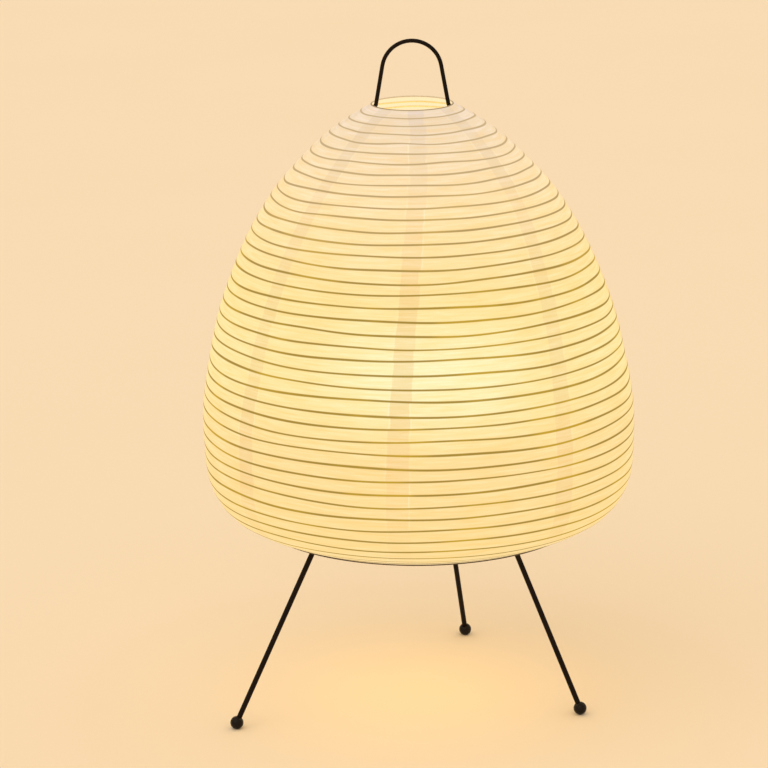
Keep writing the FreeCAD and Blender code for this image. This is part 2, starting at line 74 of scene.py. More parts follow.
def newTree(name, kind, inputs, outputs):
    tree = bpy.data.node_groups.new(name, kind)
    for direction, sockets in (("INPUT", inputs), ("OUTPUT", outputs)):
        for socketName, socketKind in sockets.items():
            tree.interface.new_socket(socketName, in_out=direction, socket_type="NodeSocket" + socketKind)
    start = tree.nodes.new("NodeGroupInput")
    end = tree.nodes.new("NodeGroupOutput")
    return tree, start.outputs, end.inputs


def pointPlace(tree):
    position = put(tree, "GeometryNodeInputPosition").outputs[0]
    return put(tree, "ShaderNodeSeparateXYZ", {"Vector": position}).outputs


def rolledGrid(tree, columns, lastRow):
    # a flat grid to be rolled up: the share of the turn at each point, and its row
    sizes = {
        "Size X": 1, "Size Y": 1,
        "Vertices X": calc(tree, "ADD", columns, 1), "Vertices Y": calc(tree, "ADD", lastRow, 1),
    }
    grid = put(tree, "GeometryNodeMeshGrid", sizes).outputs[0]
    flat = pointPlace(tree)
    turn = calc(tree, "ADD", flat["X"], 0.5)
    row = calc(tree, "ROUND", calc(tree, "MULTIPLY", calc(tree, "ADD", flat["Y"], 0.5), lastRow))
    return grid, turn, row


def rowSides(tree, row, lastOuter, lastRow):
    # 1 on the rows of the outside, and on those of the inside; the last row, which closes on the
    # first, belongs to neither
    closing = calc(tree, "GREATER_THAN", row, calc(tree, "SUBTRACT", lastRow, 0.5))
    inside = calc(tree, "GREATER_THAN", row, calc(tree, "ADD", lastOuter, 0.5))
    inside = calc(tree, "SUBTRACT", inside, closing)
    outside = calc(tree, "SUBTRACT", 1, calc(tree, "ADD", inside, closing))
    return outside, inside


def newPiece(name, mesh):
    mesh.name = name
    piece = bpy.data.objects.new(name, mesh)
    bpy.context.collection.objects.link(piece)
    return piece


def growPiece(name, tree, values):
    # runs a geometry tree and keeps its result as a plain mesh
    carrier = newPiece(name + "Carrier", bpy.data.meshes.new(name + "Carrier"))
    modifier = carrier.modifiers.new(name, "NODES")
    modifier.node_group = tree
    for item in tree.interface.items_tree:
        if item.in_out == "INPUT" and item.name in values:
            modifier[item.identifier] = values[item.name]
    graph = bpy.context.evaluated_depsgraph_get()
    mesh = bpy.data.meshes.new_from_object(carrier.evaluated_get(graph), depsgraph=graph)
    bpy.data.objects.remove(carrier)
    faceOutward(mesh)
    return newPiece(name, mesh)


def faceOutward(mesh):
    shell = bmesh.new()
    shell.from_mesh(mesh)
    bmesh.ops.recalc_face_normals(shell, faces=shell.faces)
    shell.to_mesh(mesh)
    shell.free()


def smoothByAngle(mesh, degrees):
    mesh.shade_smooth()
    mesh.set_sharp_from_angle(angle=math.radians(degrees))


def fitOut(piece, body, slotName, material, *nodes):
    piece.data.materials.clear()
    piece.data.materials.append(material)
    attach(piece, body)
    if nodes:
        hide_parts(*nodes)
    return piece


# shader helpers

def newMaterial(name, **constants):
    material = bpy.data.materials.new(name)
    material.use_nodes = True
    tree = material.node_tree
    tree.nodes.clear()
    shader = put(tree, "ShaderNodeBsdfPrincipled")
    output = put(tree, "ShaderNodeOutputMaterial")
    tree.links.new(shader.outputs[0], output.inputs["Surface"])
    for socketName, value in constants.items():
        shader.inputs[socketName.replace("_", " ")].default_value = value
    return material, tree, shader


def objectSpot(tree):
    return put(tree, "ShaderNodeTexCoord").outputs["Object"]


def stretched(tree, spot, scale):
    return put(tree, "ShaderNodeMapping", {"Vector": spot, "Scale": scale}).outputs[0]


def noise(tree, spot, scale, detail=2.0, roughness=0.5):
    values = {"Vector": spot, "Scale": scale, "Detail": detail, "Roughness": roughness}
    return put(tree, "ShaderNodeTexNoise", values).outputs[0]


def between(tree, value, low, high):
    # 0 below low, 1 above high, with soft ends
    values = {"Value": value, "From Min": low, "From Max": high}
    return put(tree, "ShaderNodeMapRange", values, interpolation_type="SMOOTHSTEP").outputs[0]


def tint(tree, share, first, second, blend="MIX"):
    node = put(tree, "ShaderNodeMix", data_type="RGBA", blend_type=blend)
    for index, value in ((0, share), (6, first), (7, second)):
        feed(tree, value, node.inputs[index])
    return node.outputs[2]


def ramp(tree, value, stops):
    node = put(tree, "ShaderNodeValToRGB", {"Fac": value})
    points = node.color_ramp.elements
    while len(points) < len(stops):
        points.new(0.5)
    for point, (spot, colour) in zip(points, stops):
        point.position = spot
        point.color = (*colour, 1)
    return node.outputs[0]


def bump(tree, shader, height, strength, distance):
    node = put(tree, "ShaderNodeBump", {"Height": height, "Strength": strength, "Distance": distance})
    tree.links.new(node.outputs[0], shader.inputs["Normal"])


def makeFibreGroup():
    # long streaks round the axis and short loose fibres, as in hand-laid paper and split bamboo
    inputs = {"Spot": "Vector", "Streak": "Float", "Fibre": "Float"}
    outputs = {"Streaks": "Float", "Fibres": "Float"}
    tree, given, out = newTree("paperFibre", "ShaderNodeTree", inputs, outputs)
    low = stretched(tree, given["Spot"], (1, 1, 18))
    streak = noise(tree, low, given["Streak"], 4, 0.6)
    bent = noise(tree, given["Spot"], given["Fibre"], 3, 0.6)
    off = calc(tree, "ABSOLUTE", calc(tree, "SUBTRACT", bent, 0.5))
    feed(tree, streak, out["Streaks"])
    feed(tree, calc(tree, "SUBTRACT", 1, between(tree, off, 0.0, 0.025)), out["Fibres"])
    return tree


def makeSpeckleGroup():
    # fine speckle and slow blotches, as in paint, plating and moulded plastic
    inputs = {"Spot": "Vector", "Fine": "Float", "Slow": "Float"}
    outputs = {"Speckle": "Float", "Blotch": "Float"}
    tree, given, out = newTree("finishSpeckle", "ShaderNodeTree", inputs, outputs)
    feed(tree, noise(tree, given["Spot"], given["Fine"], 3, 0.6), out["Speckle"])
    feed(tree, noise(tree, given["Spot"], given["Slow"], 4, 0.55), out["Blotch"])
    return tree


fibreGroup = makeFibreGroup()
speckleGroup = makeSpeckleGroup()


def fibres(tree, spot, streak, fibre):
    node = put(tree, "ShaderNodeGroup", node_tree=fibreGroup)
    for socketName, value in (("Spot", spot), ("Streak", streak), ("Fibre", fibre)):
        feed(tree, value, node.inputs[socketName])
    return node.outputs["Streaks"], node.outputs["Fibres"]


def speckles(tree, fine, slow):
    node = put(tree, "ShaderNodeGroup", node_tree=speckleGroup)
    for socketName, value in (("Spot", objectSpot(tree)), ("Fine", fine), ("Slow", slow)):
        feed(tree, value, node.inputs[socketName])
    return node.outputs["Speckle"], node.outputs["Blotch"]


def finish(name, light, dark, gloss, fine, slow, rough, **constants):
    # a plain finish: blotches between two tones, with speckled gloss and a fine bump
    material, tree, shader = newMaterial(name, **constants)
    speckle, blotch = speckles(tree, fine, slow)
    colour = tint(tree, between(tree, blotch, 0.35, 0.65), (*dark, 1), (*light, 1))
    feed(tree, colour, shader.inputs["Base Color"])
    values = {"Value": speckle, "From Min": 0.3, "From Max": 0.7, "To Min": gloss[0], "To Max": gloss[1]}
    feed(tree, put(tree, "ShaderNodeMapRange", values).outputs[0], shader.inputs["Roughness"])
    bump(tree, shader, speckle, rough, 0.1 * mm)
    return material


# shade: outline, ribs and paper

shade = {
    "outline": (  # radius and height in mm, from the mouth down to the hem
        (24.0, 368.5), (44.9, 355.3), (70.1, 332.3), (88.0, 310.3), (111.0, 265.3),
        (124.2, 220.3), (130.0, 168.0), (122.5, 131.3), (104.0, 117.8), (76.0, 110.0),
    ),
    "outlineSteps": 48,
    "weld": 0.01 * mm,
    "bands": 44,
    "columns": 168,
    "steps": 6,
    "insideSteps": 2,
    "paper": 0.25 * mm,
    "proud": 0.2 * mm,
    "sink": 0.25 * mm,
    "crowding": 0.9,
    "wander": 1.3 * mm,
    "wanderGain": 4,
    "wanderScale": 1.1,
    "bandDrift": 0.42,
    "heldBands": 1.5,
    "dip": 1.3 * mm,
    "dipFade": 0.16,
    "lean": -2.5 * mm,
    "seed": 3.0,
    "seam": math.radians(-95.6),
    "seams": 8,
    "rib": 0.45 * mm,
    "ribDepth": -0.4 * mm,
    "ribSides": 6,
    "ribSteps": 96,
    "ring": 0.4 * mm,
    "ringDepth": 0.05 * mm,
    "ringSides": 12,
    "turnBand": 41,
    "turnHoop": 0.5 * mm,
    "turnDepth": 0.45 * mm,
    "foldedShare": 43.5 / 258.5,
}
mouthHeight = shade["outline"][0][1] * mm
hemHeight = shade["outline"][-1][1] * mm


def makeOutline():
    curve = bpy.data.curves.new("shadeOutline", "CURVE")
    curve.dimensions = "3D"
    curve.resolution_u = shade["outlineSteps"]
    spline = curve.splines.new("BEZIER")
    spline.bezier_points.add(len(shade["outline"]) - 1)
    for point, (radius, height) in zip(spline.bezier_points, shade["outline"]):
        point.co = (radius * mm, 0, height * mm)
        point.handle_left_type = "AUTO"
        point.handle_right_type = "AUTO"
    outline = bpy.data.objects.new("shadeOutline", curve)
    bpy.context.collection.objects.link(outline)
    return outline


def shadeShare(tree, height):
    # 0 at the hem and 1 at the mouth
    return calc(tree, "DIVIDE", calc(tree, "SUBTRACT", height, hemHeight), mouthHeight - hemHeight)


def makeShadeRule():
    # a band, an angle and a distance off the outline give a point on the shade
    inputs = {
        "Outline": "Geometry", "Band": "Float", "Angle": "Float", "Proud": "Float",
        "Bands": "Float", "Wander": "Float", "Dip": "Float", "Lean": "Float", "Seed": "Float",
    }
    outputs = {"Point": "Vector", "Rest": "Vector"}
    tree, given, out = newTree("shadeRule", "GeometryNodeTree", inputs, outputs)
    cosine = calc(tree, "COSINE", given["Angle"])
    sine = calc(tree, "SINE", given["Angle"])
    drift = calc(tree, "ADD", calc(tree, "MULTIPLY", given["Band"], shade["bandDrift"]), given["Seed"])
    onCircle = put(tree, "ShaderNodeCombineXYZ", {"X": cosine, "Y": sine, "Z": drift}).outputs[0]
    waver = calc(tree, "SUBTRACT", noise(tree, onCircle, shade["wanderScale"], 1.0), 0.5)
    fromEnd = calc(tree, "MINIMUM", given["Band"], calc(tree, "SUBTRACT", given["Bands"], given["Band"]))
    free = calc(tree, "DIVIDE", fromEnd, shade["heldBands"], clamp=True)
    wander = calc(tree, "MULTIPLY", given["Wander"], shade["wanderGain"])
    slip = calc(tree, "MULTIPLY", calc(tree, "MULTIPLY", waver, free), wander)
    length = put(tree, "GeometryNodeCurveLength", {"Curve": given["Outline"]}).outputs[0]
    reach = calc(tree, "MULTIPLY", calc(tree, "DIVIDE", given["Band"], given["Bands"]), length)
    sample = put(tree, "GeometryNodeSampleCurve", mode="LENGTH")
    feed(tree, given["Outline"], sample.inputs["Curves"])
    feed(tree, calc(tree, "ADD", reach, slip), sample.inputs["Length"])
    spot = put(tree, "ShaderNodeSeparateXYZ", {"Vector": sample.outputs["Position"]}).outputs
    along = put(tree, "ShaderNodeSeparateXYZ", {"Vector": sample.outputs["Tangent"]}).outputs
    radius = calc(tree, "SUBTRACT", spot["X"], calc(tree, "MULTIPLY", along["Z"], given["Proud"]))
    height = calc(tree, "ADD", spot["Z"], calc(tree, "MULTIPLY", along["X"], given["Proud"]))
    frontness = calc(tree, "MULTIPLY", calc(tree, "SUBTRACT", sine, 1), 0.5)
    fading = calc(tree, "EXPONENT", calc(tree, "MULTIPLY", given["Band"], -shade["dipFade"]))
    dip = calc(tree, "MULTIPLY", calc(tree, "MULTIPLY", frontness, fading), given["Dip"])
    aside = calc(tree, "MULTIPLY", shadeShare(tree, height), given["Lean"])
    x = calc(tree, "MULTIPLY", radius, cosine)
    y = calc(tree, "MULTIPLY", radius, sine)
    rest = put(tree, "ShaderNodeCombineXYZ", {"X": x, "Y": y, "Z": height}).outputs[0]
    shift = put(tree, "ShaderNodeCombineXYZ", {"X": aside, "Z": dip}).outputs[0]
    leaning = put(tree, "ShaderNodeVectorMath", {0: rest, 1: shift}, operation="ADD").outputs[0]
    feed(tree, rest, out["Rest"])
    feed(tree, leaning, out["Point"])
    return tree


shadeRule = makeShadeRule()
ruleInputs = {
    "Outline": "Object", "Bands": "Int", "Wander": "Float", "Dip": "Float", "Lean": "Float",
    "Seed": "Float", "Material": "Material",
}


def onShade(tree, given, band, angle, proud):
    outline = put(tree, "GeometryNodeObjectInfo", {"Object": given["Outline"]}).outputs["Geometry"]
    values = {
        "Outline": outline, "Band": band, "Angle": angle, "Proud": proud, "Bands": given["Bands"],
        "Wander": given["Wander"], "Dip": given["Dip"], "Lean": given["Lean"], "Seed": given["Seed"],
    }
    rule = put(tree, "GeometryNodeGroup", node_tree=shadeRule)
    for socketName, value in values.items():
        feed(tree, value, rule.inputs[socketName])
    return rule.outputs


def moved(tree, geometry, point):
    return put(tree, "GeometryNodeSetPosition", {"Geometry": geometry, "Position": point}).outputs[0]


def finishTree(tree, given, out, geometry):
    real = put(tree, "GeometryNodeRealizeInstances", {"Geometry": geometry}).outputs[0]
    smooth = put(tree, "GeometryNodeSetShadeSmooth", {"Geometry": real}).outputs[0]
    painted = put(tree, "GeometryNodeSetMaterial", {"Geometry": smooth, "Material": given["Material"]})
    feed(tree, painted.outputs[0], out["Geometry"])


def makePaperTree():
    # one closed skin: down the outside, round the hem and up the inside, sunk a little between ribs
    inputs = {
        **ruleInputs, "Columns": "Int", "Steps": "Int", "Inside Steps": "Int",
        "Thickness": "Float", "Proud": "Float", "Sink": "Float", "Start": "Float",
    }
    tree, given, out = newTree("paperSkin", "GeometryNodeTree", inputs, {"Geometry": "Geometry"})
    outer = calc(tree, "MULTIPLY", given["Bands"], given["Steps"])
    inner = calc(tree, "MULTIPLY", given["Bands"], given["Inside Steps"])
    lastRow = calc(tree, "ADD", calc(tree, "ADD", outer, inner), 2)
    grid, turn, row = rolledGrid(tree, given["Columns"], lastRow)
    angle = calc(tree, "ADD", calc(tree, "MULTIPLY", turn, math.tau), given["Start"])
    outside, inside = rowSides(tree, row, outer, lastRow)
    even = calc(tree, "DIVIDE", row, given["Steps"])
    ripple = calc(tree, "SINE", calc(tree, "MULTIPLY", even, math.tau))
    down = calc(tree, "SUBTRACT", even, calc(tree, "MULTIPLY", ripple, shade["crowding"] / math.tau))
    pastHem = calc(tree, "SUBTRACT", calc(tree, "SUBTRACT", row, outer), 1)
    up = calc(tree, "SUBTRACT", given["Bands"], calc(tree, "DIVIDE", pastHem, given["Inside Steps"]))
    band = calc(tree, "ADD", calc(tree, "MULTIPLY", down, outside), calc(tree, "MULTIPLY", up, inside))
    sag = calc(tree, "ABSOLUTE", calc(tree, "SINE", calc(tree, "MULTIPLY", band, math.pi)))
    half = calc(tree, "MULTIPLY", given["Thickness"], calc(tree, "SUBTRACT", 0.5, inside))
    level = calc(tree, "SUBTRACT", given["Proud"], calc(tree, "MULTIPLY", sag, given["Sink"]))
    onSkin = onShade(tree, given, band, angle, calc(tree, "ADD", level, half))
    marked = grid
    for name, value, kind in (
        ("band", band, "FLOAT"),
        ("inside", inside, "FLOAT"),
        ("rest", onSkin["Rest"], "FLOAT_VECTOR"),
    ):
        mark = put(tree, "GeometryNodeStoreNamedAttribute", data_type=kind, domain="POINT")
        for socketName, entry in (("Geometry", marked), ("Name", name), ("Value", value)):
            feed(tree, entry, mark.inputs[socketName])
        marked = mark.outputs[0]
    skin = moved(tree, marked, onSkin["Point"])
    joined = put(tree, "GeometryNodeMergeByDistance", {"Geometry": skin, "Distance": shade["weld"]})
    finishTree(tree, given, out, joined.outputs[0])
    return tree


def makeRibTree():
    # thin hoops under the paper, one at each line between two bands from the first on
    inputs = {
        **ruleInputs, "First": "Int", "Count": "Int", "Rib": "Float", "Depth": "Float",
        "Sides": "Int", "Steps": "Int",
    }
    tree, given, out = newTree("ribHoops", "GeometryNodeTree", inputs, {"Geometry": "Geometry"})
    unit = {"Resolution": given["Steps"], "Radius": 1}
    circle = put(tree, "GeometryNodeCurvePrimitiveCircle", unit).outputs[0]
    amounts = {"Geometry": circle, "Amount": given["Count"]}
    copies = put(tree, "GeometryNodeDuplicateElements", amounts, domain="SPLINE")
    band = calc(tree, "ADD", copies.outputs["Duplicate Index"], given["First"])
    flat = pointPlace(tree)
    angle = calc(tree, "ARCTAN2", flat["Y"], flat["X"])
    onHoop = onShade(tree, given, band, angle, given["Depth"])
    hoops = moved(tree, copies.outputs["Geometry"], onHoop["Point"])
    profile = {"Resolution": given["Sides"], "Radius": given["Rib"]}
    section = put(tree, "GeometryNodeCurvePrimitiveCircle", profile).outputs[0]
    tube = put(tree, "GeometryNodeCurveToMesh", {"Curve": hoops, "Profile Curve": section}).outputs[0]
    finishTree(tree, given, out, tube)
    return tree


paperLook = {
    "glow": (  # share of the height from hem to mouth, and the tone there
        (0.0, (0.80, 0.60, 0.28)),
        (0.03, (0.84, 0.63, 0.30)),
        (0.045, (0.86, 0.645, 0.29)),
        (0.08, (0.87, 0.635, 0.255)),
        (0.28, (0.885, 0.645, 0.27)),
        (0.42, (0.885, 0.68, 0.27)),
        (0.62, (0.88, 0.675, 0.27)),
        (0.80, (0.89, 0.665, 0.33)),
        (0.93, (0.82, 0.63, 0.39)),
        (1.0, (0.76, 0.60, 0.43)),
    ),
    "inside": (0.96, 0.76, 0.45),
    "sheet": (0.13, 0.11, 0.08),
    "sheetAtRib": (0.03, 0.018, 0.004),
    # the bulb's painted hot spot: its tone, the turn it faces, its width, height and reach, and the belt
    # round the shade
    "spot": (0.90, 0.80, 0.42),
    "spotTurn": math.radians(-87),
    "spotWidth": math.radians(33),
    "spotHeight": 0.475,
    "spotReach": 0.18,
    "belt": 0.18,
    "streakScale": 45,
    "fibreScale": 160,
    "streakPale": (1.05, 1.07, 1.2),
    "streakWarm": (1.0, 0.94, 0.82),
    # painted shadows of the ribs in the glow: their tones, paler near the mouth and darkest at the hem, and
    # their width
    "rib": (0.33, 0.205, 0.024),
    "ribGold": (0.52, 0.315, 0.012),
    "goldScale": 24,
    "ribAtTop": (0.55, 0.40, 0.22),
    "ribAtHem": (0.07, 0.042, 0.012),
    "ribWidth": 0.079,
    "ribShown": 0.95,
    "ribHiddenInside": 0.75,
    "hemRibSwell": 0.8,
    "hemRibs": 39.5,
    "lap": (  # what a lap of two sheets lets through, from hem to mouth
        (0.0, (1.0, 1.0, 1.0)),
        (0.12, (0.98, 0.97, 0.98)),
        (0.32, (0.94, 0.90, 0.91)),
        (0.45, (0.92, 0.84, 0.79)),
        (0.62, (0.925, 0.85, 0.81)),
        (0.74, (0.955, 0.92, 0.94)),
        (0.84, (0.965, 0.96, 0.98)),
        (1.0, (0.91, 0.92, 1.0)),
    ),
    "sideLap": (  # the same for every second lap, which is greyer
        (0.0, (1.0, 1.0, 1.0)),
        (0.2, (0.935, 0.905, 0.925)),
        (1.0, (0.925, 0.925, 0.95)),
    ),
    "lapEdge": (0.95, 0.85, 0.58),
    "lapWidth": 7.0 * mm,
    "lapTaper": 2.0 * mm,
    "lapSkew": 1.2 * mm,
    "lapJump": 0.8 * mm,
    "lapSoft": 0.35 * mm,
    "tear": 1.6 * mm,
    "tearScale": 220,
    "patchScale": 30,
    "leastLap": 0.55,
    "wornScale": 45,
    "paste": 0.6 * mm,
    "pasteShown": 0.35,
    "slant": math.radians(11),
    "slantPower": 2.5,
    "sideEdge": 0.62,
    "lapMottle": 0.5,
}


def makePaper():
    look = paperLook
    constants = {"Roughness": 0.9, "Specular_IOR_Level": 0.2, "Emission_Strength": 1.0}
    material, tree, shader = newMaterial("litPaper", **constants)
    spot = put(tree, "ShaderNodeAttribute", attribute_name="rest").outputs["Vector"]
    place = put(tree, "ShaderNodeSeparateXYZ", {"Vector": spot}).outputs
    angle = calc(tree, "ARCTAN2", place["Y"], place["X"])
    height = shadeShare(tree, place["Z"])
    glow = ramp(tree, height, look["glow"])
    streak, fibre = fibres(tree, spot, look["streakScale"], look["fibreScale"])
    # the bulb's painted hot spot on the glow
    glow = tint(tree, glowSpot(tree, angle, height), glow, (*look["spot"], 1))
    glow = tint(tree, between(tree, streak, 0.5, 0.66), glow, (*look["streakPale"], 1), "MULTIPLY")
    glow = tint(tree, between(tree, streak, 0.5, 0.35), glow, (*look["streakWarm"], 1), "MULTIPLY")
    band = put(tree, "ShaderNodeAttribute", attribute_name="band").outputs["Fac"]
    inside = put(tree, "ShaderNodeAttribute", attribute_name="inside").outputs["Fac"]
    lap, side, lapEdge = lapMasks(tree, spot, place, angle, height, band)
    through = tint(tree, side, ramp(tree, height, look["lap"]), ramp(tree, height, look["sideLap"]))
    glow = tint(tree, lap, glow, through, "MULTIPLY")
    glow = tint(tree, lapEdge, glow, (*look["lapEdge"], 1))
    # the ribs' painted shadows: fine dark lines in the glow where each rib blocks the bulb's light, darker
    # and wider at the hem
    toLine = calc(tree, "SUBTRACT", calc(tree, "FRACT", calc(tree, "ADD", band, 0.5)), 0.5)
    offRib = calc(tree, "ABSOLUTE", toLine)
    atHem = between(tree, band, look["hemRibs"], look["hemRibs"] + 0.2)
    swell = calc(tree, "ADD", calc(tree, "MULTIPLY", atHem, look["hemRibSwell"]), 1)
    offRib = calc(tree, "DIVIDE", offRib, swell)
    rib = between(tree, offRib, look["ribWidth"] * 1.4, look["ribWidth"] * 0.5)
    golden = between(tree, noise(tree, spot, look["goldScale"], 2), 0.45, 0.65)
    ribShadowTone = tint(tree, golden, (*look["rib"], 1), (*look["ribGold"], 1))
    ribShadowTone = tint(tree, between(tree, height, 0.6, 1.0), ribShadowTone, (*look["ribAtTop"], 1))
    ribShadowTone = tint(tree, atHem, ribShadowTone, (*look["ribAtHem"], 1))
    hidden = calc(tree, "MULTIPLY", inside, look["ribHiddenInside"])
    ribShadowShown = calc(tree, "MULTIPLY", rib, calc(tree, "SUBTRACT", look["ribShown"], hidden))
    glow = tint(tree, inside, glow, (*look["inside"], 1))
    glow = tint(tree, ribShadowShown, glow, ribShadowTone)
    feed(tree, glow, shader.inputs["Emission Color"])
    sheet = tint(tree, rib, (*look["sheet"], 1), (*look["sheetAtRib"], 1))
    feed(tree, sheet, shader.inputs["Base Color"])
    grain = calc(tree, "ADD", calc(tree, "MULTIPLY", streak, 0.6), calc(tree, "MULTIPLY", fibre, 0.25))
    grain = calc(tree, "ADD", grain, calc(tree, "MULTIPLY", lap, 0.8))
    bump(tree, shader, grain, 0.5, 0.15 * mm)
    return material


def glowSpot(tree, angle, height):
    # painted hot spot: the bulb's light painted as a pale belt at its own height, palest in a patch at the
    # front
    look = paperLook
    offFront = calc(tree, "COSINE", calc(tree, "SUBTRACT", angle, look["spotTurn"]))
    paintedHotSpot = between(tree, offFront, math.cos(look["spotWidth"]), 1.0)
    share = calc(tree, "ADD", calc(tree, "MULTIPLY", paintedHotSpot, 1 - look["belt"]), look["belt"])
    offHeight = calc(tree, "ABSOLUTE", calc(tree, "SUBTRACT", height, look["spotHeight"]))
    return calc(tree, "MULTIPLY", share, between(tree, offHeight, look["spotReach"], 0.0))


def lapMasks(tree, spot, place, angle, height, band):
    # where two sheets lap at a seam, whether it is a side lap, and the pale line of paste at the lap's
    # edges; the edges and the strength jump a little from band to band
    look = paperLook
    slant = calc(tree, "MULTIPLY", calc(tree, "POWER", height, look["slantPower"]), look["slant"])
    width = calc(tree, "SUBTRACT", look["lapWidth"], calc(tree, "MULTIPLY", height, look["lapTaper"]))
    offFirst = calc(tree, "SUBTRACT", calc(tree, "SUBTRACT", angle, shade["seam"]), slant)
    turn = calc(tree, "ADD", calc(tree, "MULTIPLY", offFirst, shade["seams"] / math.tau), 0.5)
    seam = calc(tree, "FLOOR", turn)
    offSeam = calc(tree, "SUBTRACT", calc(tree, "SUBTRACT", turn, seam), 0.5)
    square = calc(tree, "ADD", calc(tree, "POWER", place["X"], 2), calc(tree, "POWER", place["Y"], 2))
    arc = calc(tree, "MULTIPLY", calc(tree, "SQRT", square), math.tau / shade["seams"])
    cell = put(tree, "ShaderNodeCombineXYZ", {"X": calc(tree, "FLOOR", band), "Y": seam}).outputs[0]
    jump = put(tree, "ShaderNodeTexWhiteNoise", {"Vector": cell}, noise_dimensions="2D")
    jumps = put(tree, "ShaderNodeSeparateXYZ", {"Vector": jump.outputs["Color"]}).outputs
    skew = calc(tree, "MULTIPLY", calc(tree, "SUBTRACT", jumps["X"], 0.5), look["lapSkew"])
    aside = calc(tree, "ABSOLUTE", calc(tree, "ADD", calc(tree, "MULTIPLY", offSeam, arc), skew))
    torn = calc(tree, "SUBTRACT", noise(tree, spot, look["tearScale"], 2), 0.5)
    torn = calc(tree, "MULTIPLY", torn, look["tear"])
    uneven = calc(tree, "ADD", torn, calc(tree, "MULTIPLY", jumps["Y"], look["lapJump"]))
    edge = calc(tree, "ADD", aside, uneven)
    pastEdge = calc(tree, "SUBTRACT", edge, width)
    lap = between(tree, pastEdge, look["lapSoft"], -look["lapSoft"])
    side = calc(tree, "ABSOLUTE", calc(tree, "MODULO", seam, 2))
    share = calc(tree, "SUBTRACT", 1, calc(tree, "MULTIPLY", side, 1 - look["sideEdge"]))
    patchy = between(tree, noise(tree, spot, look["patchScale"], 2), 0.25, 0.6)
    whole = calc(tree, "ADD", calc(tree, "MULTIPLY", patchy, 1 - look["leastLap"]), look["leastLap"])
    mottle = calc(tree, "MULTIPLY", calc(tree, "SUBTRACT", jumps["Z"], 0.5), look["lapMottle"])
    lap = calc(tree, "MULTIPLY", lap, calc(tree, "MULTIPLY", whole, calc(tree, "ADD", mottle, 1)))
    offEdge = calc(tree, "ABSOLUTE", calc(tree, "SUBTRACT", pastEdge, look["paste"]))
    pale = between(tree, offEdge, look["paste"], 0.1 * mm)
    worn = between(tree, noise(tree, spot, look["wornScale"], 3), 0.45, 0.7)
    pale = calc(tree, "MULTIPLY", pale, calc(tree, "MULTIPLY", worn, share))
    return lap, side, calc(tree, "MULTIPLY", pale, look["pasteShown"])


bambooLook = {
    "streakScale": 30,
    "fibreScale": 400,
    "fibreShown": 0.4,
    "litFrom": 4 * mm,
    "litFull": -12 * mm,
}


def makeBamboo(name, dark, light, knot, lit=0.0):
    # lit is the bulb's light on the side that faces the shade's axis
    material, tree, shader = newMaterial(name, Roughness=0.6, Emission_Strength=lit)
    spot = objectSpot(tree)
    streak, fibre = fibres(tree, spot, bambooLook["streakScale"], bambooLook["fibreScale"])
    colour = ramp(tree, streak, ((0.3, dark), (0.7, light)))
    colour = tint(tree, calc(tree, "MULTIPLY", fibre, bambooLook["fibreShown"]), colour, (*knot, 1))
    feed(tree, colour, shader.inputs["Base Color"])
    if lit:
        fromAxis = stretched(tree, spot, (1, 1, 0))
        normal = put(tree, "ShaderNodeTexCoord").outputs["Normal"]
        dot = put(tree, "ShaderNodeVectorMath", {0: fromAxis, 1: normal}, operation="DOT_PRODUCT")
        inward = between(tree, dot.outputs["Value"], bambooLook["litFrom"], bambooLook["litFull"])
        feed(tree, tint(tree, inward, (0, 0, 0, 1), colour), shader.inputs["Emission Color"])
    bump(tree, shader, streak, 0.4, 0.1 * mm)
    return material


def foldWithShade(piece):
    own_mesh(piece)


paper = makePaper()
bamboo = makeBamboo("splitBamboo", (0.50, 0.36, 0.12), (0.66, 0.50, 0.20), (0.40, 0.27, 0.08), lit=0.95)
ringWood = makeBamboo("ringBamboo", (0.27, 0.205, 0.115), (0.40, 0.31, 0.19), (0.19, 0.14, 0.075), lit=1.0)
hoopWood = makeBamboo("hoopBamboo", (0.055, 0.028, 0.008), (0.10, 0.055, 0.016), (0.035, 0.018, 0.006))
outline = makeOutline()
shared = {
    "Outline": outline, "Bands": shade["bands"], "Wander": shade["wander"], "Dip": shade["dip"],
    "Lean": shade["lean"], "Seed": shade["seed"],
}
skin = growPiece("paper_skin", makePaperTree(), {
    **shared, "Material": paper, "Columns": shade["columns"], "Steps": shade["steps"],
    "Inside Steps": shade["insideSteps"], "Thickness": shade["paper"], "Proud": shade["proud"],
    "Sink": shade["sink"], "Start": shade["seam"],
})
fitOut(skin, "shade", "paper", paper, "paper_gores")
foldWithShade(skin)
ribTree = makeRibTree()
ribSizes = {
    **shared, "Material": bamboo, "Rib": shade["rib"], "Depth": shade["ribDepth"],
    "Sides": shade["ribSides"], "Steps": shade["ribSteps"],
}
ribs = growPiece("bamboo_ribs", ribTree, {**ribSizes, "First": 1, "Count": shade["bands"] - 1})
fitOut(ribs, "shade", "rib", bamboo, "rib_hoops")
foldWithShade(ribs)
ringSizes = {
    **ribSizes, "Material": ringWood, "Count": 1, "Rib": shade["ring"], "Depth": shade["ringDepth"],
    "Sides": shade["ringSides"],
}
mouthRing = growPiece("mouth_ring", ribTree, {**ringSizes, "First": 0})
fitOut(mouthRing, "shade", "black_wire", ringWood, "top_ring")
hemRing = growPiece("hem_ring", ribTree, {**ringSizes, "First": shade["bands"]})
fitOut(hemRing, "hem", "black_wire", ringWood, "bottom_ring")
# the stout hoop at which the shade turns in under itself, outside the paper
turnHoop = growPiece("turn_hoop", ribTree, {
    **ringSizes, "Material": hoopWood, "First": shade["turnBand"], "Rib": shade["turnHoop"],
    "Depth": shade["turnDepth"],
})
fitOut(turnHoop, "shade", "rib", hoopWood)
foldWithShade(turnHoop)
bpy.data.objects.remove(outline)
print("shade:", len(skin.data.polygons), "paper faces,", len(ribs.data.polygons), "rib faces")


# finishes of the rigid pieces

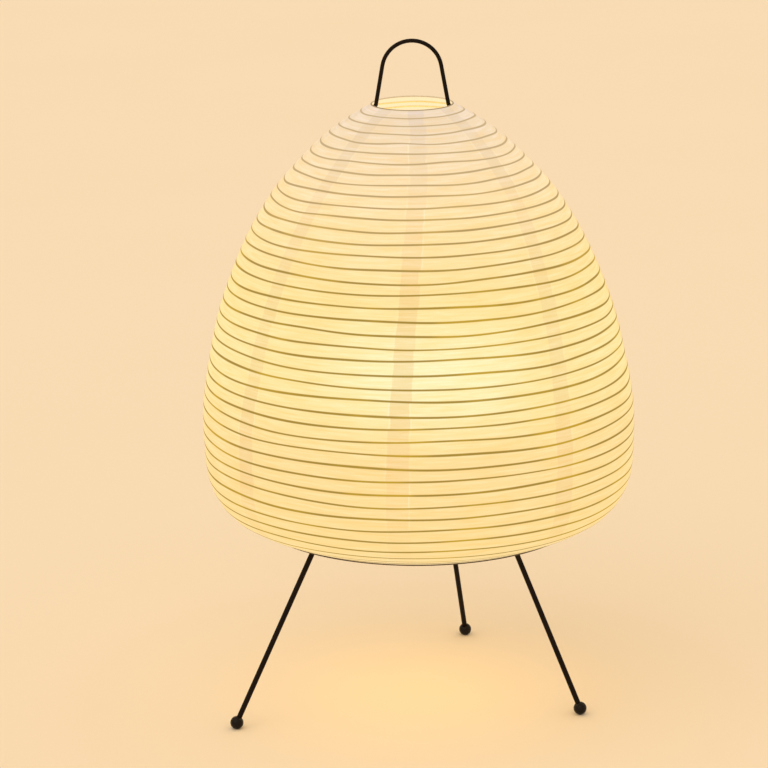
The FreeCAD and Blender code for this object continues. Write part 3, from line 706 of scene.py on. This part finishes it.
blackPaint = finish(
    "satinBlackPaint", (0.010, 0.0052, 0.0028), (0.006, 0.0032, 0.002), (0.4, 0.55), 900, 40, 0.15,
    Specular_IOR_Level=0.09,
)
ballPaint = finish(
    "ballPaint", (0.008, 0.005, 0.0035), (0.005, 0.0032, 0.0025), (0.2, 0.3), 700, 60, 0.1,
    Specular_IOR_Level=0.16,
)
zinc = finish("zincPlate", (0.62, 0.61, 0.58), (0.44, 0.43, 0.41), (0.25, 0.45), 700, 120, 0.2, Metallic=1.0)
phenolic = finish("blackMoulding", (0.028, 0.027, 0.026), (0.018, 0.017, 0.017), (0.35, 0.5), 900, 60, 0.2)
ceramic = finish(
    "glazedCeramic", (0.80, 0.78, 0.73), (0.70, 0.68, 0.62), (0.12, 0.25), 300, 60, 0.1,
    Coat_Weight=0.4,
)
brass = finish("brass", (0.72, 0.52, 0.20), (0.55, 0.37, 0.13), (0.2, 0.4), 600, 90, 0.15, Metallic=1.0)
darkGlass = finish(
    "darkGlass", (0.03, 0.022, 0.02), (0.02, 0.015, 0.014), (0.08, 0.18), 300, 60, 0.05,
    Coat_Weight=0.5,
)
capMetal = finish(
    "capMetal", (0.72, 0.71, 0.68), (0.58, 0.57, 0.54), (0.25, 0.42), 700, 90, 0.15,
    Metallic=1.0,
)
whiteMoulding = finish("whiteMoulding", (0.78, 0.76, 0.71), (0.70, 0.68, 0.63), (0.35, 0.5), 900, 50, 0.12)


def makeOpal():
    material, tree, shader = newMaterial("litOpal", Roughness=0.35, Emission_Strength=0.62)
    speckle, blotch = speckles(tree, 300, 30)
    tone = tint(tree, blotch, (1.0, 0.78, 0.46, 1), (1.0, 0.84, 0.56, 1))
    feed(tree, tone, shader.inputs["Emission Color"])
    feed(tree, tint(tree, speckle, (0.30, 0.28, 0.25, 1), (0.34, 0.32, 0.28, 1)), shader.inputs["Base Color"])
    bump(tree, shader, speckle, 0.05, 0.1 * mm)
    return material


opal = makeOpal()


# lampholder and bulb

holder = {
    "gripBars": 44,
    "gripSides": 10,
    "gripRadius": 20.05 * mm,
    "gripBar": 0.55 * mm,
    "gripLength": 17 * mm,
    "gripMiddle": 152.5 * mm,
    "contactBottom": 139 * mm,
    "contactTop": 163 * mm,
    "contactCrest": 14.35 * mm,
    "contactBore": 13.85 * mm,
    "contactDepth": 0.42 * mm,
}
bulb = {
    "capBottom": 146.5 * mm,
    "capTop": 168 * mm,
    "capCrest": 13.1 * mm,
    "capBore": 11 * mm,
    "capDepth": 0.95 * mm,
    "pitch": 21.8 / 6 * mm,  # the bulb rises this far in a turn
    "threadFade": 3.2 * mm,
    "threadColumns": 72,
    "threadRows": 72,
    "collarRadius": 14.6 * mm,
    "collarTop": 176 * mm,
    "rim": 206 * mm,
    "globe": 30 * mm,
    "lip": 1.5 * mm,
    "wall": 2 * mm,
    "ceiling": 2 * mm,
    "collarEase": 0.4 * mm,
    "rimEase": 0.25 * mm,
    "flareCurve": 0.3,
    "flareSteps": 14,
    "domeSteps": 20,
    "sides": 96,
    "weld": 0.005 * mm,
}


def turnProfile(name, profile):
    # a closed piece turned about the lamp's axis; its profile starts and ends on the axis
    shell = bmesh.new()
    rings = []
    for radius, height in profile:
        count = bulb["sides"] if radius else 1
        turns = [math.tau * index / count for index in range(count)]
        rings.append([shell.verts.new((radius * math.cos(t), radius * math.sin(t), height)) for t in turns])
    for low, high in zip(rings, rings[1:]):
        for index in range(bulb["sides"]):
            # on the axis both corners of a side are one point, which is kept once
            steps = ((low, index), (low, index + 1), (high, index + 1), (high, index))
            shell.faces.new(dict.fromkeys(ring[step % len(ring)] for ring, step in steps))
    bmesh.ops.recalc_face_normals(shell, faces=shell.faces)
    mesh = bpy.data.meshes.new(name)
    shell.to_mesh(mesh)
    shell.free()
    smoothByAngle(mesh, 35)
    return newPiece(name, mesh)


def makeThreadTree():
    # a rolled sleeve with a thread in its wall, which fades out towards both ends
    lengths = ("Bottom", "Top", "Crest", "Bore", "Depth", "Bore Depth", "Pitch", "Fade")
    inputs = {**dict.fromkeys(lengths, "Float"), "Columns": "Int", "Rows": "Int", "Material": "Material"}
    tree, given, out = newTree("rolledThread", "GeometryNodeTree", inputs, {"Geometry": "Geometry"})
    rows = given["Rows"]
    lastRow = calc(tree, "ADD", calc(tree, "MULTIPLY", rows, 2), 2)
    grid, turn, row = rolledGrid(tree, given["Columns"], lastRow)
    angle = calc(tree, "MULTIPLY", turn, math.tau)
    outside, inside = rowSides(tree, row, rows, lastRow)
    up = calc(tree, "DIVIDE", row, rows)
    down = calc(tree, "DIVIDE", calc(tree, "SUBTRACT", calc(tree, "SUBTRACT", lastRow, row), 1), rows)
    share = calc(tree, "ADD", calc(tree, "MULTIPLY", up, outside), calc(tree, "MULTIPLY", down, inside))
    tall = calc(tree, "SUBTRACT", given["Top"], given["Bottom"])
    height = calc(tree, "ADD", given["Bottom"], calc(tree, "MULTIPLY", share, tall))
    climb = calc(tree, "DIVIDE", calc(tree, "MULTIPLY", height, math.tau), given["Pitch"])
    wave = calc(tree, "COSINE", calc(tree, "SUBTRACT", angle, climb))
    fromBottom = calc(tree, "SUBTRACT", height, given["Bottom"])
    fromEnd = calc(tree, "MINIMUM", fromBottom, calc(tree, "SUBTRACT", given["Top"], height))
    fade = calc(tree, "DIVIDE", fromEnd, given["Fade"], clamp=True)
    groove = calc(tree, "MULTIPLY", calc(tree, "MULTIPLY", calc(tree, "ADD", wave, 1), 0.5), fade)
    outer = calc(tree, "SUBTRACT", given["Crest"], calc(tree, "MULTIPLY", groove, given["Depth"]))
    inner = calc(tree, "SUBTRACT", given["Bore"], calc(tree, "MULTIPLY", groove, given["Bore Depth"]))
    wall = calc(tree, "MULTIPLY", calc(tree, "SUBTRACT", inner, outer), inside)
    radius = calc(tree, "ADD", outer, wall)
    x = calc(tree, "MULTIPLY", radius, calc(tree, "COSINE", angle))
    y = calc(tree, "MULTIPLY", radius, calc(tree, "SINE", angle))
    point = put(tree, "ShaderNodeCombineXYZ", {"X": x, "Y": y, "Z": height}).outputs[0]
    sleeve = moved(tree, grid, point)
    joined = put(tree, "GeometryNodeMergeByDistance", {"Geometry": sleeve, "Distance": bulb["weld"]})
    finishTree(tree, given, out, joined.outputs[0])
    return tree


def makeGripTree():
    # upright bars round the lampholder's shell
    inputs = {
        "Count": "Int", "Radius": "Float", "Bar": "Float", "Length": "Float", "Middle": "Float",
        "Material": "Material",
    }
    tree, given, out = newTree("gripBars", "GeometryNodeTree", inputs, {"Geometry": "Geometry"})
    places = {"Vertices": given["Count"], "Radius": given["Radius"]}
    circle = put(tree, "GeometryNodeMeshCircle", places).outputs[0]
    lift = put(tree, "ShaderNodeCombineXYZ", {"Z": given["Middle"]}).outputs[0]
    raised = put(tree, "GeometryNodeSetPosition", {"Geometry": circle, "Offset": lift}).outputs[0]
    bar = put(tree, "GeometryNodeMeshCylinder", {
        "Vertices": holder["gripSides"], "Radius": given["Bar"], "Depth": given["Length"],
    })
    bars = put(tree, "GeometryNodeInstanceOnPoints", {"Points": raised, "Instance": bar.outputs["Mesh"]})
    finishTree(tree, given, out, bars.outputs[0])
    return tree


def makeHolderAndBulb():
    grip = growPiece("shell_grip", makeGripTree(), {
        "Count": holder["gripBars"], "Radius": holder["gripRadius"], "Bar": holder["gripBar"],
        "Length": holder["gripLength"], "Middle": holder["gripMiddle"], "Material": phenolic,
    })
    smoothByAngle(grip.data, 50)
    fitOut(grip, "base", "black_plastic", phenolic)
    threadTree = makeThreadTree()
    thread = {
        "Pitch": bulb["pitch"], "Fade": bulb["threadFade"], "Columns": bulb["threadColumns"],
        "Rows": bulb["threadRows"],
    }
    contact = growPiece("threaded_contact", threadTree, {
        **thread, "Bottom": holder["contactBottom"], "Top": holder["contactTop"],
        "Crest": holder["contactCrest"], "Bore": holder["contactBore"],
        "Depth": holder["contactDepth"], "Bore Depth": holder["contactDepth"], "Material": brass,
    })
    fitOut(contact, "base", "brass", brass, "screw_contact")
    cap = growPiece("threaded_cap", threadTree, {
        **thread, "Bottom": bulb["capBottom"], "Top": bulb["capTop"], "Crest": bulb["capCrest"],
        "Bore": bulb["capBore"], "Depth": bulb["capDepth"], "Bore Depth": 0.0, "Material": capMetal,
    })
    fitOut(cap, "bulb", "cap_metal", capMetal, "bulb_cap")
    globe, rim, edge = bulb["globe"], bulb["rim"], bulb["rimEase"]
    flare = []
    for step in range(bulb["flareSteps"] + 1):
        share = step / bulb["flareSteps"]
        soft = share * share * (3 - 2 * share)
        swell = (1 - bulb["flareCurve"]) * share + bulb["flareCurve"] * soft
        flare.append((
            bulb["collarRadius"] + (globe - bulb["collarRadius"]) * swell,
            bulb["collarTop"] + (rim - bulb["lip"] - bulb["collarTop"]) * share,
        ))
    housing = turnProfile("bulb_body", [
        (0, bulb["capTop"]), (bulb["capCrest"], bulb["capTop"]),
        (bulb["collarRadius"] - bulb["collarEase"], bulb["collarTop"] - 2 * bulb["collarEase"]), *flare,
        (globe, rim - edge), (globe - edge, rim), (0, rim),
    ])
    fitOut(housing, "bulb", "white_plastic", whiteMoulding, "bulb_housing")
    arc = [math.pi / 2 * step / bulb["domeSteps"] for step in range(bulb["domeSteps"] + 1)]
    dome = [(globe * math.cos(turn), rim + globe * math.sin(turn)) for turn in arc]
    recess = globe - bulb["wall"]
    diffuser = turnProfile("bulb_dome", [
        (0, rim + bulb["ceiling"]), (recess, rim + bulb["ceiling"]), (recess, rim),
        (globe - edge, rim), (globe, rim + edge), *dome[1:-1], (0, dome[-1][1]),
    ])
    fitOut(diffuser, "bulb", "opal", opal, "bulb_diffuser")


makeHolderAndBulb()
print("lampholder and bulb made")


dressing = {
    "weld": 0.001 * mm,
    "flatWithin": math.radians(0.5),
    "sharpFrom": math.radians(35),
    "edgeSteps": 2,
    "smoothUpTo": 40,
}


def dress(node, body, slotName, material, edge):
    # a merged copy of the node, with its sharp edges eased
    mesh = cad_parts[node].data.copy()
    shell = bmesh.new()
    shell.from_mesh(mesh)
    bmesh.ops.remove_doubles(shell, verts=shell.verts, dist=dressing["weld"])
    bmesh.ops.dissolve_limit(
        shell, angle_limit=dressing["flatWithin"], verts=shell.verts, edges=shell.edges, delimit={"NORMAL"}
    )
    shell.to_mesh(mesh)
    shell.free()
    piece = newPiece(node + "_dressed", mesh)
    if edge:
        bevel = piece.modifiers.new("easedEdge", "BEVEL")
        bevel.width = edge
        bevel.segments = dressing["edgeSteps"]
        bevel.limit_method = "ANGLE"
        bevel.angle_limit = dressing["sharpFrom"]
        graph = bpy.context.evaluated_depsgraph_get()
        eased = bpy.data.meshes.new_from_object(piece.evaluated_get(graph), depsgraph=graph)
        piece.modifiers.clear()
        piece.data = eased
    smoothByAngle(piece.data, dressing["smoothUpTo"])
    return fitOut(piece, body, slotName, material, node)


for node, body, slotName, material, edge in (
    ("ball_feet", "base", "ball", ballPaint, 0.0),
    ("left_leg", "base", "black_wire", blackPaint, 0.2 * mm),
    ("right_leg", "base", "black_wire", blackPaint, 0.2 * mm),
    ("rear_leg", "base", "black_wire", blackPaint, 0.2 * mm),
    ("leg_nuts", "base", "steel", zinc, 0.25 * mm),
    ("spider_plate", "base", "black_wire", blackPaint, 0.3 * mm),
    ("stretcher_sleeves", "base", "black_wire", blackPaint, 0.15 * mm),
    ("stretcher", "shade", "black_wire", blackPaint, 0.1 * mm),
    ("nipple", "base", "steel", zinc, 0.2 * mm),
    ("nipple_nut", "base", "steel", zinc, 0.3 * mm),
    ("cord_gland", "base", "black_plastic", phenolic, 0.4 * mm),
    ("holder_cup", "base", "black_plastic", phenolic, 0.5 * mm),
    ("holder_shell", "base", "black_plastic", phenolic, 0.4 * mm),
    ("holder_insert", "base", "white_insulator", ceramic, 0.3 * mm),
    ("centre_contact", "base", "brass", brass, 0.1 * mm),
    ("terminal_screws", "base", "brass", brass, 0.3 * mm),
    ("bulb_eyelet", "eyelet", "brass", brass, 0.3 * mm),
    ("bulb_insulator", "bulb", "dark_insulator", darkGlass, 0.3 * mm),
    ("bulb_board", "bulb", "cap_metal", capMetal, 0.2 * mm),
):
    dress(node, body, slotName, material, edge)
print("rigid pieces dressed")


# floor, light and camera

stage = {
    "floorSize": 40.0,
    "backdrop": (0.94, 0.72, 0.47),
    "floorLight": (0.93, 0.72, 0.47),
    "floorDark": (0.91, 0.70, 0.45),
    "sky": (1.0, 0.97, 0.93),
    "skyStrength": 0.92,
    "sunStrength": 0.45,
    "sunAngle": 70,
    "sunTurn": (38, 0, -35),
    "poolHeight": 0.100,
    "poolWidth": 0.14,
    "poolPower": 0.045,
    "poolColour": (1.0, 0.80, 0.40),
}


def makeFloor():
    half = stage["floorSize"] / 2
    mesh = bpy.data.meshes.new("floor")
    corners = [(-half, -half, 0), (half, -half, 0), (half, half, 0), (-half, half, 0)]
    mesh.from_pydata(corners, [], [(0, 1, 2, 3)])
    floor = newPiece("floor", mesh)
    material, tree, shader = newMaterial("paleFloor", Roughness=0.85, Specular_IOR_Level=0.2)
    cloud = noise(tree, objectSpot(tree), 2.5, 3)
    colour = tint(tree, cloud, (*stage["floorDark"], 1), (*stage["floorLight"], 1))
    feed(tree, colour, shader.inputs["Base Color"])
    mesh.materials.append(material)


def makeLight():
    world = bpy.data.worlds.new("studio")
    bpy.context.scene.world = world
    world.use_nodes = True
    tree = world.node_tree
    tree.nodes.clear()
    sky = put(tree, "ShaderNodeBackground", {"Color": (*stage["sky"], 1), "Strength": stage["skyStrength"]})
    seen = put(tree, "ShaderNodeBackground", {"Color": (*stage["backdrop"], 1), "Strength": 1.0})
    path = put(tree, "ShaderNodeLightPath").outputs
    shown = calc(tree, "ADD", path["Is Camera Ray"], path["Is Glossy Ray"])
    shown = calc(tree, "ADD", shown, path["Is Transmission Ray"], clamp=True)
    mixed = put(tree, "ShaderNodeMixShader", {0: shown, 1: sky.outputs[0], 2: seen.outputs[0]})
    put(tree, "ShaderNodeOutputWorld", {"Surface": mixed.outputs[0]})
    sun = bpy.data.lights.new("softKey", "SUN")
    sun.energy = stage["sunStrength"]
    sun.angle = math.radians(stage["sunAngle"])
    key = bpy.data.objects.new("softKey", sun)
    key.rotation_euler = [math.radians(angle) for angle in stage["sunTurn"]]
    bpy.context.collection.objects.link(key)
    glow = bpy.data.lights.new("bulbPool", "AREA")  # the bulb's light that falls out under the hem
    glow.shape = "DISK"
    glow.size = stage["poolWidth"]
    glow.energy = stage["poolPower"]
    glow.color = stage["poolColour"]
    pool = bpy.data.objects.new("bulbPool", glow)
    pool.location = (0, 0, stage["poolHeight"])
    pool.visible_camera = False
    bpy.context.collection.objects.link(pool)


camera = {
    "spot": (0, -1.5216, 0.5985),
    "pitch": 0.2578,
    "yaw": -0.0140,
    "roll": 0.0136,
    "lens": 2600 / 768 * 36,
}


def makeCamera():
    data = bpy.data.cameras.new("camera")
    data.sensor_width = 36
    data.lens = camera["lens"]
    data.clip_end = 50
    ahead = Vector((
        math.sin(camera["yaw"]) * math.cos(camera["pitch"]),
        math.cos(camera["yaw"]) * math.cos(camera["pitch"]),
        -math.sin(camera["pitch"]),
    ))
    level = Vector((math.cos(camera["yaw"]), -math.sin(camera["yaw"]), 0))
    under = ahead.cross(level)
    right = level * math.cos(camera["roll"]) + under * math.sin(camera["roll"])
    down = under * math.cos(camera["roll"]) - level * math.sin(camera["roll"])
    viewer = bpy.data.objects.new("camera", data)
    turn = Matrix((right, -down, -ahead)).transposed()
    viewer.matrix_world = Matrix.Translation(camera["spot"]) @ turn.to_4x4()
    bpy.context.collection.objects.link(viewer)
    bpy.context.scene.camera = viewer


makeFloor()
makeLight()
makeCamera()
bpy.context.scene.view_settings.view_transform = "Standard"
print("stage set")
